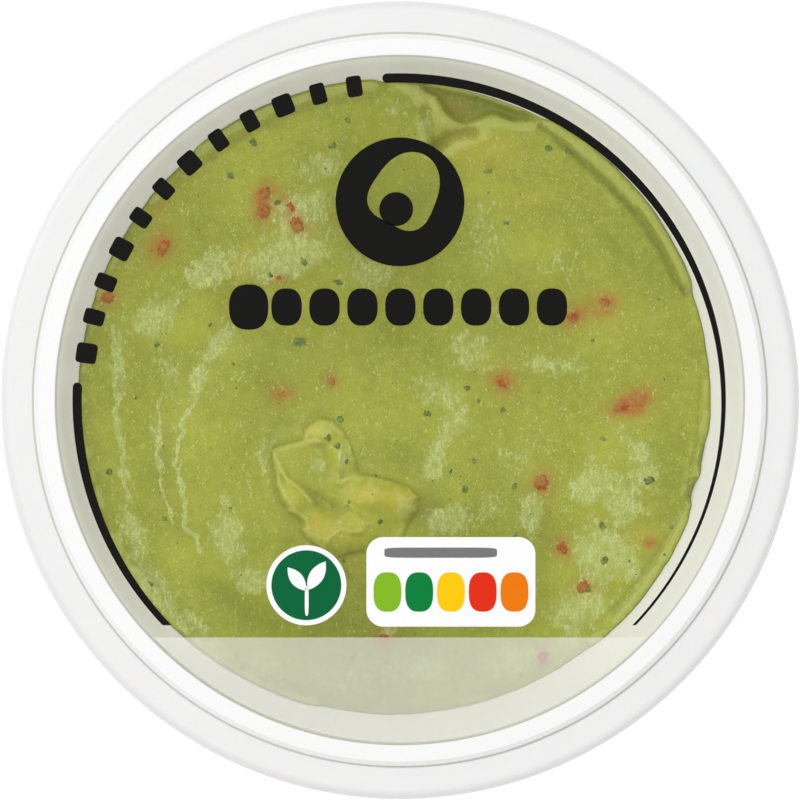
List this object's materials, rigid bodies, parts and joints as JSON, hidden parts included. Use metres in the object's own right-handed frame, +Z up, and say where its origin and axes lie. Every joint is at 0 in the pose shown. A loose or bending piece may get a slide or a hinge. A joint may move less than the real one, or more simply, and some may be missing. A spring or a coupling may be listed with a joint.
{
  "type": "guacamole tub",
  "caption": "Round white tub of guacamole with a stepped flange, filled to just below the rim and shut with a clear printed film.",
  "frame": {"origin": "on the tub's axis, in the plane that its base ring stands on", "axes": "+Z up out of the tub; +Y towards the top of the film's print, +X to its right"},
  "size_m": [0.118, 0.118, 0.0396],
  "materials": {
    "tub_plastic": "opaque white moulded polypropylene, satin",
    "guacamole": "moist smooth avocado dip with diced red pepper and herb flecks",
    "clear_film": "clear heat-sealed lidding film, printed in flat colours",
    "red_pepper": "moist diced red pepper",
    "herbs": "chopped green herb and ground spice",
    "film_print": "flat printing ink on the film"
  },
  "bodies": {
    "root": {"tub": "tub_plastic", "guacamole": "guacamole", "lid_film": "clear_film"}
  },
  "joints": []
}
